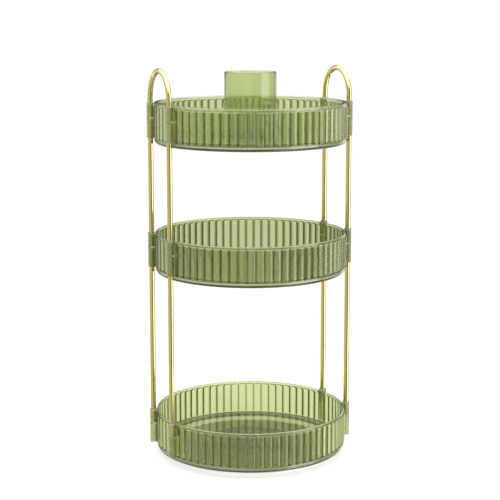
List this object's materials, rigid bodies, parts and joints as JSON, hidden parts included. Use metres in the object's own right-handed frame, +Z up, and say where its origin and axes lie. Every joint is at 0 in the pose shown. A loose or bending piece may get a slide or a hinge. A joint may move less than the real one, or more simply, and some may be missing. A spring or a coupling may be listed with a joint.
{
  "type": "rotating makeup organizer",
  "caption": "Round open trays with fluted walls on slim metal legs with loop handles, turning on a ball-bearing base, with a divided insert and a brush cup on top.",
  "frame": {"origin": "middle of the footprint, on the table", "axes": "+Z up, -Y the front with the lipstick slots, leg pairs and handles at -X (left) and +X (right)"},
  "size_m": [0.2256, 0.2198, 0.4467],
  "materials": {
    "green_plastic": "glossy, translucent sage green, moulded",
    "insert_plastic": "glossy, translucent sage green, moulded",
    "cup_plastic": "glossy, translucent olive green, moulded",
    "gold_tube": "polished pale gold plating",
    "clear_base": "clear, slightly frosted",
    "soft_pad": "matte, soft, translucent white",
    "race_plastic": "satin white",
    "cage_plastic": "satin natural white",
    "ball_steel": "polished",
    "zinc_steel": "bright zinc"
  },
  "bodies": {
    "base": {"base_plate": "clear_base", "base_feet": "soft_pad", "lower_race": "race_plastic"},
    "ball_ring": {"ball_cage": "cage_plastic", "bearing_balls": "ball_steel"},
    "carousel": {"upper_race": "race_plastic", "pivot_washer": "zinc_steel", "pivot_screw": "zinc_steel", "bottom_tray": "green_plastic", "middle_tray": "green_plastic", "top_tray": "green_plastic", "lower_tube_left_rear": "gold_tube", "lower_tube_left_front": "gold_tube", "lower_tube_right_front": "gold_tube", "lower_tube_right_rear": "gold_tube", "upper_tube_left_rear": "gold_tube", "upper_tube_left_front": "gold_tube", "upper_tube_right_front": "gold_tube", "upper_tube_right_rear": "gold_tube", "left_handle": "gold_tube", "right_handle": "gold_tube", "divider_insert": "insert_plastic"},
    "loose_cup": {"brush_cup": "cup_plastic"}
  },
  "joints": [
    {"name": "carousel_spin", "type": "hinge", "parent": "base", "child": "carousel", "pos_m": [0, 0, 0.00835], "axis": [0, 0, 1], "continuous": true},
    {"name": "ball_ring_roll", "type": "hinge", "parent": "base", "child": "ball_ring", "pos_m": [0, 0, 0.00835], "axis": [0, 0, 1], "continuous": true},
    {"name": "cup_lift", "type": "slide", "parent": "carousel", "child": "loose_cup", "axis": [0, 0, 1], "range_m": [0, 0.08]}
  ],
  "couplings": [
    {"joint": "ball_ring_roll", "follows": "carousel_spin", "ratio": 0.5}
  ]
}
